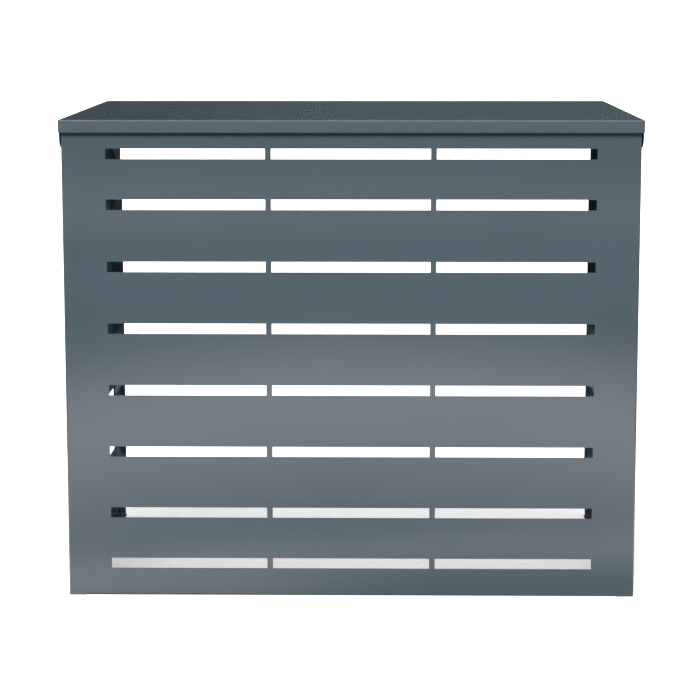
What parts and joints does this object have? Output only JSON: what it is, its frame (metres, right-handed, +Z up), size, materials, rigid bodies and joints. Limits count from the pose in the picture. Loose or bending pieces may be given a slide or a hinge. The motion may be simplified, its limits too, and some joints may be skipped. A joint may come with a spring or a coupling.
{
  "type": "outdoor equipment enclosure",
  "caption": "Slotted sheet-steel cover for an outdoor unit or generator, open at the back and underneath, with a sloping lid that turns up on rear pivots.",
  "frame": {"origin": "on the floor, under the middle of the body, which is 3 mm behind the middle of the closed box because of the lid's front overhang", "axes": "+X to the right seen from the front, +Y to the open back, +Z up"},
  "size_m": [1.0154, 0.5739, 0.858],
  "materials": {
    "powder_coated_steel": "satin powder coat, blue-grey anthracite, with fine orange peel",
    "zinc_steel": "bright zinc plate",
    "stainless_steel": "plain stainless steel",
    "black_nylon": "moulded black nylon",
    "black_rubber": "soft black rubber"
  },
  "bodies": {
    "body": {"front_panel": "powder_coated_steel", "left_side_panel": "powder_coated_steel", "right_side_panel": "powder_coated_steel", "rear_top_rail": "powder_coated_steel", "left_pivot_washer": "zinc_steel", "right_pivot_washer": "zinc_steel", "left_pivot_nut": "zinc_steel", "right_pivot_nut": "zinc_steel", "front_joint_studs": "zinc_steel", "front_joint_washers": "zinc_steel", "front_joint_nuts": "zinc_steel", "rail_washers": "zinc_steel", "rail_nuts": "zinc_steel", "left_pivot_bolt": "stainless_steel", "right_pivot_bolt": "stainless_steel", "rail_screws": "stainless_steel", "left_pivot_bush": "black_nylon", "right_pivot_bush": "black_nylon", "lid_rest_buffers": "black_rubber", "lid_stop_buffers": "black_rubber"},
    "lid": {"lid_panel": "powder_coated_steel", "lid_front_stiffener": "powder_coated_steel", "lid_rear_stiffener": "powder_coated_steel"}
  },
  "joints": [
    {"name": "lid_pivot", "type": "hinge", "parent": "body", "child": "lid", "pos_m": [0, 0.26053, 0.83094], "axis": [-1, 0, 0], "range_deg": [0, 96]}
  ]
}
